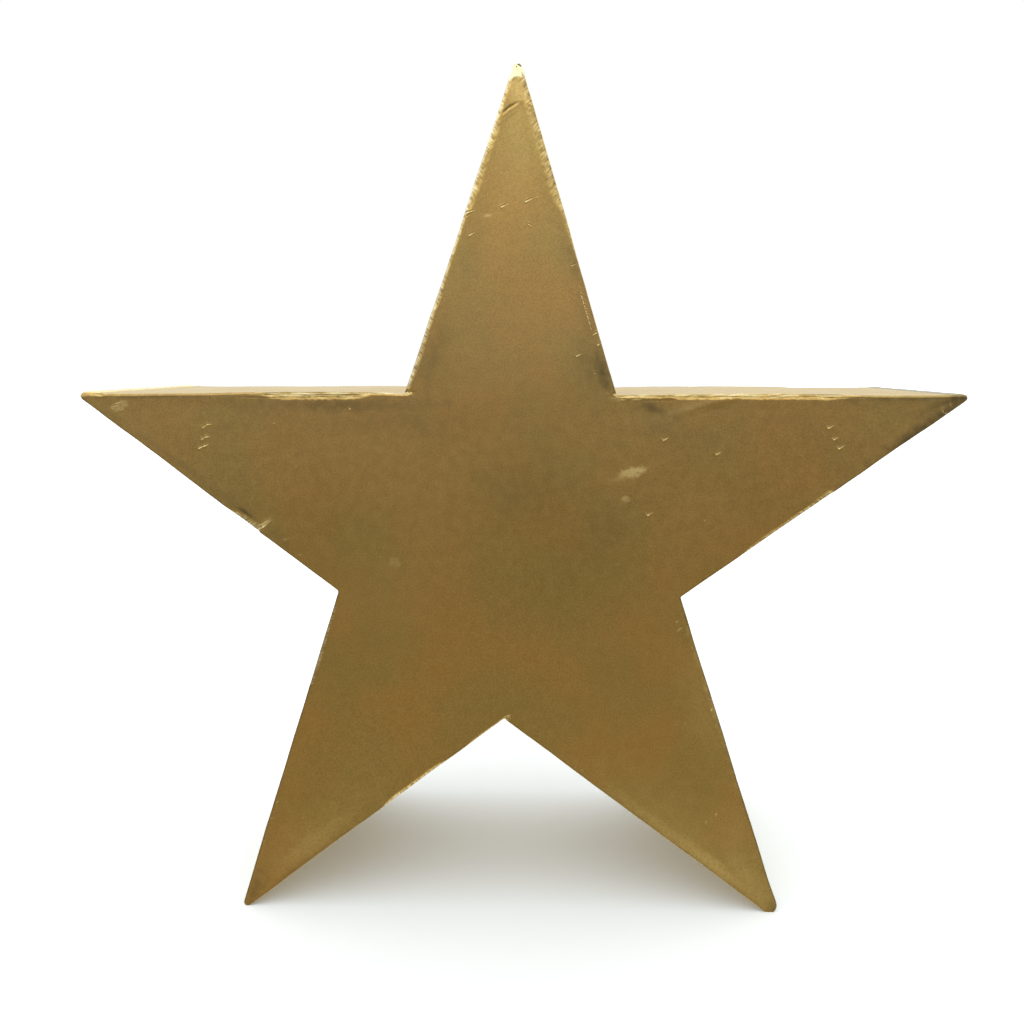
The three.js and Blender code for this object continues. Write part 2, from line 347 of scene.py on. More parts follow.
# A stroke is a nick, scratch or pit cut through the patina, deepest where it starts:
# (x, z, how far it runs in x, in z, width, depth)
FRONT_STROKES = (
    # the top point
    (-2.5, 240.7, 2.3, 1, 0.45, 0.12), (1.2, 241.9, 3.2, 1.2, 0.3, 0.02), (9, 243.5, 3, 0.8, 0.3, 0.03),
    (5.6, 242.2, 2.6, 1.1, 0.45, 0.13), (-13.7, 231.6, 2, 1, 0.45, 0.1),
    (6.6, 234.7, 1.3, -0.8, 0.4, 0.08), (-14.7, 239, 2.9, 0.8, 0.55, 0.2),
    (-15, 237.4, 1.6, 0.8, 0.4, 0.1),
    # its right edge above the valley
    (20.7, 220.6, 1.7, 0.6, 0.4, 0.08), (23, 214.2, 0.2, -0.6, 0.4, 0.06), (29, 193.8, 1, 0.6, 0.4, 0.12),
    (21.9, 190.2, 1.7, 0.7, 0.4, 0.12), (27.8, 184.4, 0.3, -0.3, 0.4, 0.08),
    (28.6, 197.9, -1.3, -0.8, 0.45, 0.18), *row((23.8, 210.6), (27.2, 198.4), 7, 0.42, 0.15),
    # the right arm
    *ticks((104.6, 164.8, 1.1), (106.4, 161, 0.85), (108.1, 158, 1.05)),
    *ticks((44.5, 136.4, 1.15), (50.2, 161.7, 0.95), (67.7, 156.5, 0.95)),
    (106.9, 151.6, 0.5, 0.3, 0.35, 0.05), (114.9, 170.6, 0.2, -0.4, 0.45, 0.07),
    (141.6, 170.3, 0.3, -1.1, 0.4, 0.1), (143, 169.2, -1, -0.2, 0.4, 0.08),
    (144, 172, 0.7, -0.9, 0.4, 0.08), (63.8, 134.5, 0.3, 0.2, 0.4, 0.06),
    (45.4, 125.9, 0.3, 0.2, 0.4, 0.07), *row((102.2, 141.4), (105.6, 143.6), 5, 0.4, 0.1),
    (104.4, 142, 0.9, 0.7, 0.4, 0.09),
    # the lower right point
    (53.9, 100.1, 0.9, 0.3, 0.45, 0.08), (54.2, 96.9, 2.2, 1.7, 0.45, 0.08),
    (59, 91, 0.2, -0.4, 0.4, 0.08), (63.8, 75, 1, -2.8, 0.45, 0.09), (65.1, 69.8, 0.8, 0.4, 0.45, 0.14),
    (56.6, 65.2, 0.2, 0.1, 0.45, 0.12), (66.4, 64.3, 0.7, -1.7, 0.45, 0.07),
    (75.1, 36.4, 0.1, 0.3, 0.45, 0.12), (66.3, 33.9, 0.5, 0.3, 0.45, 0.16),
    (63, 31.2, 0.2, 0.1, 0.45, 0.14), (60, 28.7, 0.1, 0.1, 0.4, 0.06), (14.5, 53.4, 0.2, 0.2, 0.35, 0.06),
    (21.4, 48.8, 0.2, 0.2, 0.4, 0.08), (-4.4, 67.4, 1.8, 0.7, 0.45, 0.14),
    # the lower left point
    (-73.2, 29.3, 0.8, 1, 0.35, 0.07), (-76.3, 31.1, 1.8, 1.2, 0.3, 0.03),
    (-74.5, 32.3, 1.1, 0.4, 0.3, 0.03), (-85, 36.7, 0.5, 0.8, 0.45, 0.08),
    (-87.3, 31, 0.5, 0.4, 0.45, 0.08), (-90, 22.7, 0.4, 0.7, 0.45, 0.08),
    (-80, 51.6, 0.4, 0.6, 0.4, 0.06),
    # the left arm
    (-88.9, 132.2, 2.2, 1.6, 0.5, 0.24), (-86.7, 133.8, 2.9, 2.3, 0.55, 0.18),
    (-88.2, 134, 3.6, 2.2, 0.4, 0.14), (-79.3, 129.2, 1.1, 0.4, 0.45, 0.05),
    (-74.3, 123.7, 0.8, 0.3, 0.4, 0.05), (-82.3, 169.4, 0.8, 0.3, 0.35, 0.05),
    (-106.9, 168.3, 1.9, 1.1, 0.46, 0.14), (-105.2, 169.3, 1.8, 0.1, 0.46, 0.14),
    (-107.3, 164.3, 1.5, 0.9, 0.46, 0.14), (-105.9, 165.1, 1.5, 0.2, 0.46, 0.14),
    (-108.4, 161.3, 2, 0.8, 0.46, 0.14), (-106.6, 162, 1.8, 0.6, 0.46, 0.14),
    (-137.8, 176.2, 2.4, 1, 0.38, 0.07), (-137, 177.3, 2.8, 1, 0.38, 0.07),
    (-135.4, 175, 1.6, 0.9, 0.4, 0.07), (-55.5, 173.9, 0.2, 0.1, 0.45, 0.12),
)

BACK_STROKES = (
    (24, 201, 6, -2.5, 0.45, 0.08), (-61, 150, 1.2, 0.6, 0.5, 0.14), (88, 151, 0.4, 0.3, 0.6, 0.16),
    (41, 96, 9, 2, 0.35, 0.04), (-22, 88, 0.8, -1.2, 0.5, 0.12), (-70, 40, 0.4, 0.8, 0.5, 0.14),
    (61, 44, 1.6, -0.6, 0.45, 0.1), (5, 250, 0.8, 1.8, 0.5, 0.12), (-118, 165, 2.2, 0.6, 0.4, 0.08),
    (-8, 166, 7, 3, 0.3, 0.03), *ticks((12, 140, 0.9), (122, 163, 0.8)),
)

# A smear is a patch where the patina is thin, and a smudge a dark patch of thick patina, in places painted
# shade instead:
# (x, z, half length, half width, degrees it is turned from level, strength)
FRONT_SMEARS = (
    (-7.2, 237.8, 1.9, 0.6, 8, 0.6), (35.6, 149.2, 3.6, 0.9, 16, 0.4), (-79, 129.3, 2, 0.6, 10, 0.25),
    (-85.6, 135.4, 2.6, 0.9, 40, 0.45), (104.6, 142.6, 2.6, 0.9, 38, 0.55),
    (101.6, 140.8, 2, 0.8, 35, 0.5), (138, 173.6, 2.4, 0.7, 0, 0.35), (56, 170.6, 13, 1.8, 9, 0.22),
    (-72, 23.4, 20, 4.2, 36, 0.32), (64, 16.8, 20, 3.2, -37, 0.5), (54, 24.6, 30, 3.6, -37, 0.36),
    (56, 27, 34, 9, -37, 0.16), (77, 11, 16, 6, -54, 0.36), (73, 26, 14, 9, -60, 0.14),
    (-70, 27, 24, 8, 36, 0.14), (-84, 19, 9, 5, 60, 0.1), (4, 262, 6, 18, 0, 0.1),
    (3, 279, 2.6, 4.6, 8, 0.42), (40.2, 176.2, 4.4, 0.8, -1, 1), (78.2, 175.5, 4.4, 0.8, -1, 0.9),
    (94.6, 175, 2.8, 0.8, -1, 0.8), (-25, 150, 26, 16, 20, 0.05), (67, 69.2, 26, 1.5, -73, 0.7),
    (63, 68, 24, 6.5, -73, 0.18), (-42, 160, 22, 10, 0, 0.06),
)
# A scuff is a small pale patch with a clear rim, in the same terms.
FRONT_SCUFFS = (
    (40.4, 151.1, 4.1, 1.6, 10, 0.95), (37.4, 142, 1.4, 1.1, -40, 0.72),
    (-41.7, 121.1, 2.5, 1.5, -35, 0.26), (-136, 176.4, 3.4, 1.3, 20, 0.5),
    (-7.2, 237.8, 1.7, 0.5, 8, 0.35),
)
# Smudges. The level bands turned -1 degrees just under both arms' top edges, and the patches at the right tip
# and along the right arm's lower edge, are painted shade.
FRONT_SMUDGES_AND_SHADE = (
    (30.4, 184.6, 7, 3, -72, 0.8), (27, 187, 12, 6, -72, 0.35), (23, 221, 9, 4, -72, 0.38),
    (26, 200, 14, 3, -72, 0.22), (47.2, 172.2, 5.4, 2.2, -28, 0.7), (50, 168.5, 8, 5, 10, 0.22),
    (-26.5, 192, 14, 4, 72, 0.32), (-12.5, 227, 20, 3.6, 72, 0.15), (147, 174, 5, 2.8, 15, 1),
    (140, 172, 8, 1.8, 30, 0.5), (137, 165.3, 19, 2.1, 35.5, 1), (135, 174.2, 24, 1.6, -1, 0.6),
    (112, 174.6, 9, 0.9, -1, 0.35), (87, 174.8, 3.4, 0.6, -1, 0.4), (61, 175.6, 7, 0.8, -1, 0.35),
    (-122, 179.6, 31, 1.3, -1, 0.6), (-104, 177.6, 36, 2.2, -1, 0.12), (-58, 175, 34, 2.6, -1, 0.55),
    (-46, 170, 38, 8, -1, 0.18), (70, 172.6, 36, 2, -1, 0.12), (-92.6, 138.5, 6.4, 0.5, -34, 0.95),
    (-118, 158, 30, 1.4, -36, 0.25), (-80.5, 128.6, 7, 3, -36, 0.2), (-97, 142, 12, 1.6, -36, 0.3),
    (-148, 177.5, 3.5, 1.4, -30, 0.35), (27, 128, 20, 13, 40, 0.17), (12, 112, 22, 12, 0, 0.1),
    (90, 168, 14, 4, 4, 0.12), (3, 144, 18, 15, 0, 0.13), (56, 163, 16, 8, 0, 0.1),
    (98, 158, 18, 8, 20, 0.08), (72, 7.6, 10, 0.8, -37, 0.55), (86, 0.4, 3, 2.2, -40, 0.5),
    (-74, 16.6, 22, 0.9, 36, 0.4), (-94, 5, 9, 3, 70, 0.42), (-1.5, 278.6, 1.8, 0.7, 40, 0.3),
    (40, 32.4, 14, 0.8, -37, 0.35),
)
BACK_SMEARS = (
    (30, 120, 18, 7, 25, 0.35), (-60, 60, 14, 5, 75, 0.3), (-100, 170, 14, 4, 5, 0.3),
    (8, 230, 16, 4, 80, 0.3), (60, 30, 12, 4, -60, 0.25),
)
BACK_SCUFFS = (
    (52, 140, 3, 1.4, 30, 0.5), (-20, 205, 2.4, 1, 70, 0.4),
)
BACK_SMUDGES = (
    (-2, 96, 9, 8, 0, 0.55), (-35, 160, 16, 9, 20, 0.25), (95, 165, 20, 5, 5, 0.3),
    (70, 30, 18, 8, -60, 0.2), (-120, 168, 12, 3, -20, 0.3),
)

# A bevel is a flat that a file has left along an edge: (edge, distance from the tip where it
# starts, where it ends, width, fall, how bare, softness of its start, of its end)
FRONT_BEVELS = (
    (TOP_LEFT, 3, 119, 1.25, 0.36, 0.8, 3, 3),
    (TOP_LEFT, 12, 58, 2.4, 0.22, 0.52, 18, 6),
    (TOP_LEFT, 74, 119, 1.6, 0.3, 0.78, 12, 2),
    (TOP_RIGHT, 2, 62, 2.9, 0.14, 0.5, 3, 16),
    (TOP_RIGHT, 40, 80, 0.9, 0.2, 0.3, 12, 24),
    (RIGHT_ARM_TOP, 94, 118, 0.9, 0.5, 0.66, 8, 2),
    (RIGHT_ARM_TOP, 34, 104, 1.6, 0.3, 0.6, 14, 9),
    (LEFT_ARM_TOP, 56, 108, 2.15, 0.28, 0.68, 20, 10),
    (LEFT_ARM_TOP, 98, 118, 0.7, 0.55, 0.8, 8, 2),
    (LEFT_ARM_TOP, 0, 14, 1.3, 0.35, 0.42, 2, 6),
    (LEFT_ARM_UNDER, 64, 80.5, 2.2, 0.32, 0.86, 10, 0.6),
    (LEFT_ARM_UNDER, 4, 60, 0.5, 0.4, 0.3, 4, 10),
    (RIGHT_ARM_UNDER, 54, 98, 1.1, 0.5, 0.75, 4, 16),
    (RIGHT_ARM_UNDER, 54, 66, 1.7, 0.35, 0.55, 3, 5),
    (LEFT_LEG_INNER, 61, 97, 1.25, 0.5, 0.8, 8, 14),
    (LEFT_LEG_OUTER, 85.5, 118, 1.45, 0.22, 0.55, 0.8, 4),
    (RIGHT_LEG_OUTER, 78, 86, 1.2, 0.2, 0.4, 2, 2),
    (LEFT_LEG_INNER, 97, 119, 0.6, 0.35, 0.55, 8, 2),
)
BACK_BEVELS = tuple(
    (edge, 3, 116, 0.9, 0.4, 0.7, 6, 6) for edge in (TOP_LEFT, TOP_RIGHT, RIGHT_ARM_TOP, LEFT_ARM_TOP)
) + (
    (RIGHT_ARM_UNDER, 30, 88, 1.3, 0.4, 0.8, 8, 8), (LEFT_ARM_UNDER, 12, 60, 1.2, 0.4, 0.8, 6, 6),
    (LEFT_LEG_INNER, 40, 112, 1.1, 0.4, 0.8, 9, 9), (RIGHT_LEG_OUTER, 20, 96, 0.9, 0.3, 0.6, 9, 9),
)

# Radius of the sheet's filed arris on each edge: near the tip, near the valley
ARRIS = {
    TOP_LEFT: (0.8, 0.8), TOP_RIGHT: (0.2, 0.3), RIGHT_ARM_TOP: (0.7, 0.7), LEFT_ARM_TOP: (0.8, 0.9),
    RIGHT_ARM_UNDER: (0.35, 0.35), LEFT_ARM_UNDER: (0.35, 0.35), RIGHT_LEG_OUTER: (0.4, 0.4),
    LEFT_LEG_OUTER: (0.4, 0.4), RIGHT_LEG_INNER: (0.2, 0.25), LEFT_LEG_INNER: (0.2, 0.3),
}
ARRIS_CHANGE = (36, 72)  # it changes from the one to the other between these distances from the tip
# The file was pushed along the arms' top edges, and slantwise over the others.
LEVEL_EDGES = (RIGHT_ARM_TOP, LEFT_ARM_TOP)
LEVEL_FILING = math.radians(3)
LEVEL_STRETCH = 0.75  # strokes along a level edge are this much drawn out
SLANT_FILING = math.radians(62)
GRAIN_SHIFT = 40  # keeps the file strokes of different edges apart

# A stroke gets narrower and shallower along its length, and has a burr of pushed-up metal beside it.
TAPER = 0.45
FADE = 0.65
BURR_HEIGHT = 0.45  # in depths of the stroke
BURR_PLACE, BURR_WIDTH = 1.9, 0.6  # in half widths of the stroke


def along_stroke(points, stroke):
    """Distance to a stroke and the share of its length reached beside each point."""
    x, z, run_x, run_z = stroke[:4]
    start, run = np.array([x, z]), np.array([run_x, run_z])
    share = np.clip((points - start) @ run / max(float(run @ run), 1e-6), 0, 1)
    return np.linalg.norm(points - start - share[:, None] * run, axis=1), share


def cut_strokes(points, strokes):
    """Depth of the nicks, with the metal they push up round them, and how bare they are."""
    drop = np.zeros(len(points))
    bare = np.zeros(len(points))
    for stroke in strokes:
        width, depth = stroke[4:]
        distance, share = along_stroke(points, stroke)
        distance = distance / (width / 2 * (1 - TAPER * share))
        deep = depth * (1 - FADE * share)
        burr = BURR_HEIGHT * np.exp(-((distance - BURR_PLACE) / BURR_WIDTH) ** 2)
        drop += deep * (np.exp(-distance ** 2) - burr)
        bare = np.maximum(bare, (0.3 + 4 * deep) * np.exp(-(distance / 1.3) ** 4))
    return drop, np.minimum(bare, 1)


def patches(points, spots, seed, crisp=2):
    """Patches with ragged rims, for smears and smudges, and crisper ones for scuffs."""
    strength = np.zeros(len(points))
    rag = 1 + layered_noise(points[:, 0], points[:, 1], seed, RAGGED)
    for x, z, length, width, angle, amount in spots:
        level = turned((points - [x, z]).T, math.radians(-angle))
        away = np.hypot(level[0] / length, level[1] / width)
        strength = np.maximum(strength, amount * np.exp(-(away * rag) ** crisp * 1.2))
    return strength


def file_bevels(points, bevels):
    """Fall of the filed flats and how bare they are."""
    drop = np.zeros(len(points))
    bare = np.zeros(len(points))
    for order, (name, start, end, width, fall, amount, soft_start, soft_end) in enumerate(bevels):
        along, depth = EDGES[name].measure(points)
        reach = between(along, start, start + soft_start) * (1 - between(along, end - soft_end, end))
        border = width * reach * (1 + layered_noise(along, depth, order, SCALLOPS))
        near = (depth > JUST_OUTSIDE) & (along > 3 * JUST_OUTSIDE) & (reach > 0)
        drop = np.maximum(drop, np.where(near, np.maximum(border - depth, 0) * fall, 0))
        inner = 1 - between(depth, border * 0.35, border * 1.2 + 1e-3)
        bare = np.maximum(bare, np.where(near, amount * inner * np.sqrt(reach), 0))
    return drop, bare


def file_grain(points):
    """Coordinates across and along the file strokes of the nearest edge, and that edge's number."""
    grain = np.zeros((len(points), 3))
    nearest = np.full(len(points), np.inf)
    for number, (name, edge) in enumerate(EDGES.items()):
        away = edge.far_from(points)
        along, depth = edge.measure(points)
        level = name in LEVEL_EDGES
        angle, shorten = (LEVEL_FILING, LEVEL_STRETCH) if level else (SLANT_FILING, 1)
        across_strokes = depth * math.cos(angle) - along * math.sin(angle)
        along_strokes = shorten * (depth * math.sin(angle) + along * math.cos(angle))
        shift = np.full(len(points), float(GRAIN_SHIFT * number))
        here = np.stack([across_strokes, along_strokes, shift], axis=1)
        grain[away < nearest] = here[away < nearest]
        nearest = np.minimum(nearest, away)
    return grain


def arris_radius(points):
    """The radius that suits each point: that of the nearest edge, blended near the corners."""
    total = np.zeros(len(points))
    weight = np.zeros(len(points))
    for name, (at_tip, at_valley) in ARRIS.items():
        along, _ = EDGES[name].measure(points)
        share = 1 / (EDGES[name].far_from(points) ** 2 + 0.25)
        total += share * blend(at_tip, at_valley, between(along, *ARRIS_CHANGE))
        weight += share
    return total / weight


def rounded_drop(depth, radius):
    """How far a rounded edge falls away at some depth inside the outline."""
    inside = np.clip(radius - depth, 0, radius)
    return radius - np.sqrt(radius ** 2 - inside ** 2)


class Sheet:
    """What tells the front sheet from the back sheet."""

    def __init__(self, name, node, face, facing, marks, holes, seed):
        self.name = name
        self.node = node
        self.face = face
        self.facing = facing
        self.strokes, self.smears, self.scuffs, self.smudges, self.bevels = marks
        self.holes = holes
        self.seed = seed

    def fine_boxes(self):
        """Lowest and highest (x, z) of the places that need a finer grid."""
        boxes = [(np.array([x, z]) - length, np.array([x, z]) + length) for x, z, length, *_ in self.scuffs]
        return boxes + ([CREASE_BOX] if self.facing < 0 else [])

    def inside(self, points):
        """How far each point lies inside the sheet, from its outline or from a hole's rim."""
        depth = depth_inside(points)
        for middle, radius in self.holes:
            depth = np.minimum(depth, np.linalg.norm(points - middle, axis=1) - radius)
        return depth


CAP_HEIGHT = 4  # how far down the front of the top tip the braze filler has run
CAP_LEAN = 0.12  # how steeply it leans back
CAP_PROUD = 0.05
PINHOLE_DEPTH = 0.22
# (how far right of the very top, how far above it, width)
PINHOLES = ((0.3, -0.5, 0.7), (0.8, -0.6, 0.8), (1.2, -1, 0.6), (-0.2, -1.3, 0.4), (1.8, -3.6, 1))


def filler_cap(points):
    """1 where braze filler has run over the front sheet at the top tip."""
    x, z = points[:, 0], points[:, 1]
    rim = TIP_TOP[1] - CAP_HEIGHT + 0.45 * smooth_noise(x, z, 1.7, 71) + 0.3 * (x - TIP_TOP[0])
    return between(z, rim - 0.3, rim + 0.3)


def cap_pinholes(points):
    drop = np.zeros(len(points))
    for right, up, size in PINHOLES:
        away = np.linalg.norm(points - TIP_TOP - (right, up), axis=1)
        drop += PINHOLE_DEPTH * np.exp(-(away / (size / 2)) ** 2)
    return drop


def cap_shape(points):
    """Drop of the cap's own surface: it leans back, and it has lumps and pinholes."""
    x, z = points[:, 0], points[:, 1]
    leaning_back = CAP_LEAN * (z - TIP_TOP[1] + CAP_HEIGHT)
    lumps = 0.05 * smooth_noise(x, z, 1.3, 72)
    return filler_cap(points) * (cap_pinholes(points) - CAP_PROUD + leaning_back + lumps)


# The fold across the top point: a groove over two pushed-up ridges, each given by how far it lies
# below the crease's line, its half width and its depth
CREASE_FOLDS = ((0, 0.34, 0.26), (1, 0.5, -0.09), (2.3, 0.6, -0.045))


def crease(points):
    """Drop of the fold that runs across the top point below its tip."""
    x, z = points[:, 0], points[:, 1]
    line = CREASE_HEIGHT + 0.72 * x - 0.035 * x ** 2 + 0.08 * np.sin(2.2 * x)
    fade = inside_range(x, -1.2, 3.7, 0.8) * (1 - 0.45 * between(x, 0.5, 4.4))
    folds = sum(deep * np.exp(-((z - line + below) / half) ** 2) for below, half, deep in CREASE_FOLDS)
    lip = inside_range(x, 2.2, 6, 1.5) * np.exp(-((z - line) / 0.8) ** 2)
    return fade * folds - 0.05 * lip


def buckle(points):
    """The sheet is buckled below the right arm's top edge: a crescent fold that dies away."""
    along, depth = EDGES[RIGHT_ARM_TOP].measure(points)
    curve = 1.6 + 4.6 * between(along, 74, 101)
    half_width = np.where(depth > curve, 0.6, 2.4)
    return -BUCKLE_HEIGHT * inside_range(along, 80, 96, 8) * np.exp(-((depth - curve) / half_width) ** 2)


def crumple(points):
    """Hammered, uneven metal beside the upper right valley."""
    along, depth = EDGES[RIGHT_ARM_TOP].measure(points)
    reach = inside_range(along, 98, 118, 6) * (1 - between(depth, 1.3, 2.4))
    coarse = smooth_noise(along, depth * 2.2, 2.4, 83)
    fine = smooth_noise(along, depth * 2, 0.9, 84)
    return reach * (0.10 * coarse + 0.05 * fine)


# Dark lines along the arms' top edges, where the file has cut shallow grooves and the sheet meets the wall.
# Their darkness is painted shade in the grooves and at the joint, and a painted shadow line under the edge:
# (edge, distance from the tip where it starts, where it ends, depth inside the edge, half width, how dark)
EDGE_GROOVES_AND_SHADE = (
    (LEFT_ARM_TOP, 44, 106, 0.2, 0.15, 0.8),
    (LEFT_ARM_TOP, 50, 104, 0.76, 0.26, 1),
    (LEFT_ARM_TOP, 58, 100, 1.62, 0.15, 1),
    (LEFT_ARM_TOP, 70, 98, 1.16, 0.1, 0.6),
    (RIGHT_ARM_TOP, 34, 103, 0.7, 0.19, 1),
    (RIGHT_ARM_TOP, 44, 90, 1.24, 0.1, 0.6),
    (RIGHT_ARM_TOP, 96, 117, 0.3, 0.16, 0.8),
)
LINE_DEPTH = 0.05


def edge_groove_shade(points):
    """How dark the painted shade along the arms' top edges is, in the grooves and under the edge. Each line
    wanders a little.
    """
    dark = np.zeros(len(points))
    for order, (name, start, end, middle, half, amount) in enumerate(EDGE_GROOVES_AND_SHADE):
        along, depth = EDGES[name].measure(points)
        wander = layered_noise(along, 0, order, WANDER)
        line = np.exp(-((depth - middle - wander) / half) ** 2)
        patchy = 0.8 + 0.35 * smooth_noise(along, 0, 2.6, 220 + order)
        dark = np.maximum(dark, amount * patchy * inside_range(along, start, end, 5) * line)
    return np.minimum(dark, 1)


def sheet_surface(sheet, points, depth):
    """Drop of the sheet's outer face below its flat plane, and the wear, stains and painted shade there."""
    x, z = points[:, 0], points[:, 1]
    flats, filed = file_bevels(points, sheet.bevels)
    cuts, nicked = cut_strokes(points, sheet.strokes)
    scuffs = patches(points, sheet.scuffs, sheet.seed + 2, SCUFF_CRISPNESS)
    drop = between(depth, 0, WAVES_SETTLE) * layered_noise(x, z, sheet.seed, SHEET_WAVES)
    drop += rounded_drop(depth, arris_radius(points)) + flats + cuts
    scuffed = (1 - between(depth, 0.4, 2)) * (0.25 + 0.6 * filed)
    drop += scuffed * layered_noise(x, z, 31, ROUGHNESS)
    drop += SCUFF_RELIEF * scuffs * smooth_noise(x, z, 0.8, 34)
    grime = GRIME * (1 - between(depth, 0.15, 0.9)) * (1 + 0.4 * smooth_noise(x, z, 3, 33)) * (1 - filed)
    # Dark patches of thick patina, with painted shade in the bands along the arms' top edges and at the right
    # tip, and dirt on the unfiled rim
    stain_and_shade = np.maximum(patches(points, sheet.smudges, sheet.seed + 3), grime)
    filler = np.zeros(len(points))
    if sheet.facing < 0:
        groove_shade = edge_groove_shade(points)
        filler = filler_cap(points)
        drop += crease(points) + buckle(points) + crumple(points) + LINE_DEPTH * groove_shade + cap_shape(points)
        stain_and_shade = np.maximum(stain_and_shade, hollow_stain(points, filler))
    stain_and_shade = stain_and_shade * (1 - nicked)
    # The painted shade along the arms' top edges goes on after the nicks have cleared the rest.
    if sheet.facing < 0:
        stain_and_shade = np.maximum(stain_and_shade, groove_shade)
    thin = np.maximum(patches(points, sheet.smears, sheet.seed + 2), scuffs)
    return drop, {"bare": np.maximum(filed, nicked), "thin": thin, "stain_and_shade": stain_and_shade, "filler": filler}


def hollow_stain(points, filler):
    """Dirt that has stayed in the crease, between the hammer marks and in the cap's pinholes."""
    in_crease = np.clip(2 * crease(points), 0, 0.5)
    in_crumple = np.clip(6 * crumple(points), 0, 0.6)
    in_holes = filler * np.minimum(4 * cap_pinholes(points), 1)
    return np.maximum(np.maximum(in_crease, in_crumple), in_holes)


# ---------------------------------------------------------------- making meshes

def make_piece(name, vertices, faces, attributes, material, replaced):
    """A finished piece from millimetres, riding on the star and standing for CAD nodes."""
    mesh = bpy.data.meshes.new(name)
    mesh.from_pydata((np.asarray(vertices) * MM).tolist(), [], faces)
    mesh.update()
    for key, values in attributes.items():
        kind, field = ("FLOAT", "value") if np.ndim(values) == 1 else ("FLOAT_VECTOR", "vector")
        layer = mesh.attributes.new(key, kind, "POINT")
        layer.data.foreach_set(field, np.asarray(values, np.float32).ravel())
    mesh.polygons.foreach_set("use_smooth", [True] * len(mesh.polygons))
    mesh.materials.append(material)
    piece = bpy.data.objects.new(name, mesh)
    bpy.context.scene.collection.objects.link(piece)
    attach(piece, BODY)
    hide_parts(*replaced)
    return piece


def face_points(sheet):
    """Points (x, z) on a sheet's face: its rims first, then rings, marks and a plain grid.

    Also the rims: the outline and each hole, as ranges of point numbers.
    """
    outline, inward = trace_outline(CORNERS, EDGE_STEP)
    loops = [outline] + [circle(middle, radius, HOLE_STEPS) for middle, radius in sheet.holes]
    ends = np.cumsum([len(loop) for loop in loops])
    rims = [range(end - len(loop), end) for loop, end in zip(loops, ends)]
    groups = loops + [mark_points(sheet, k) for k in range(len(sheet.strokes))]
    for middle, radius in sheet.holes:
        groups += [circle(middle, radius + away, HOLE_STEPS) for away in RIM_RINGS]
    for ring in RINGS:
        points = outline + inward * ring
        points = points[depth_inside(points) > ring * RING_KEEP]
        groups.append(clear_of_marks(points, sheet.strokes))
    low = np.min([corner.at for corner in CORNERS], axis=0)
    high = np.max([corner.at for corner in CORNERS], axis=0)
    grid = hex_grid(low, high, GRID)
    for box_low, box_high in sheet.fine_boxes():
        fine = hex_grid(box_low, box_high, FINE_GRID)
        fine = fine[depth_inside(fine) > RINGS[-1] + FINE_CLEAR]
        groups.append(clear_of_marks(fine, sheet.strokes))
        grid = grid[np.any((grid < box_low) | (grid > box_high), axis=1)]
    grid = grid[(depth_inside(grid) > RINGS[-1] + GRID_CLEAR) & (sheet.inside(grid) > HOLE_CLEAR)]
    groups.append(clear_of_marks(grid, sheet.strokes))
    return rims, np.concatenate([group for group in groups if len(group)])


def circle(middle, radius, steps):
    """Points round a hole, counter-clockwise, which is the other way round than the outline."""
    angles = np.arange(steps) * 2 * math.pi / steps
    return middle + radius * np.stack([np.cos(angles), np.sin(angles)], axis=1)


def mark_points(sheet, k):
    """A fine grid over stroke k, without what the strokes before it cover."""
    stroke = sheet.strokes[k]
    start, reach = np.array(stroke[:2]), stroke[4] * MARK_REACH
    end = start + stroke[2:4]
    points = hex_grid(np.minimum(start, end) - reach, np.maximum(start, end) + reach, MARK_STEP)
    points = points[along_stroke(points, stroke)[0] < reach]
    points = clear_of_marks(points, sheet.strokes[:k])
    return points[sheet.inside(points) > MARK_CLEAR] if len(points) else points


def clear_of_marks(points, strokes):
    keep = np.ones(len(points), bool)
    for stroke in strokes:
        keep &= along_stroke(points, stroke)[0] > stroke[4] * (MARK_REACH + 0.1)
    return points[keep]


def hex_grid(low, high, spacing):
    rows = np.arange(low[1], high[1], spacing * math.sqrt(0.75))
    columns = np.arange(low[0], high[0], spacing)
    x, z = np.meshgrid(columns, rows)
    x = x + (np.arange(len(rows)) % 2)[:, None] * spacing / 2
    return np.stack([x.ravel(), z.ravel()], axis=1)


def triangulate(sheet, points, rims):
    """Triangles over the points, inside the outline and outside the holes.

    Returns the points, the triangles and, for each point wanted, its number in the result.
    """
    walls = [(rim[k], rim[(k + 1) % len(rim)]) for rim in rims for k in range(len(rim))]
    result = delaunay_2d_cdt([Vector(p) for p in points], walls, [], 0, 1e-5, True)
    found = np.array([list(place) for place in result[0]])
    number = {wanted: k for k, names in enumerate(result[3]) for wanted in names}
    triangles = np.array([list(face) for face in result[2]])
    return found, triangles[sheet.inside(found[triangles].mean(axis=1)) > 0], number


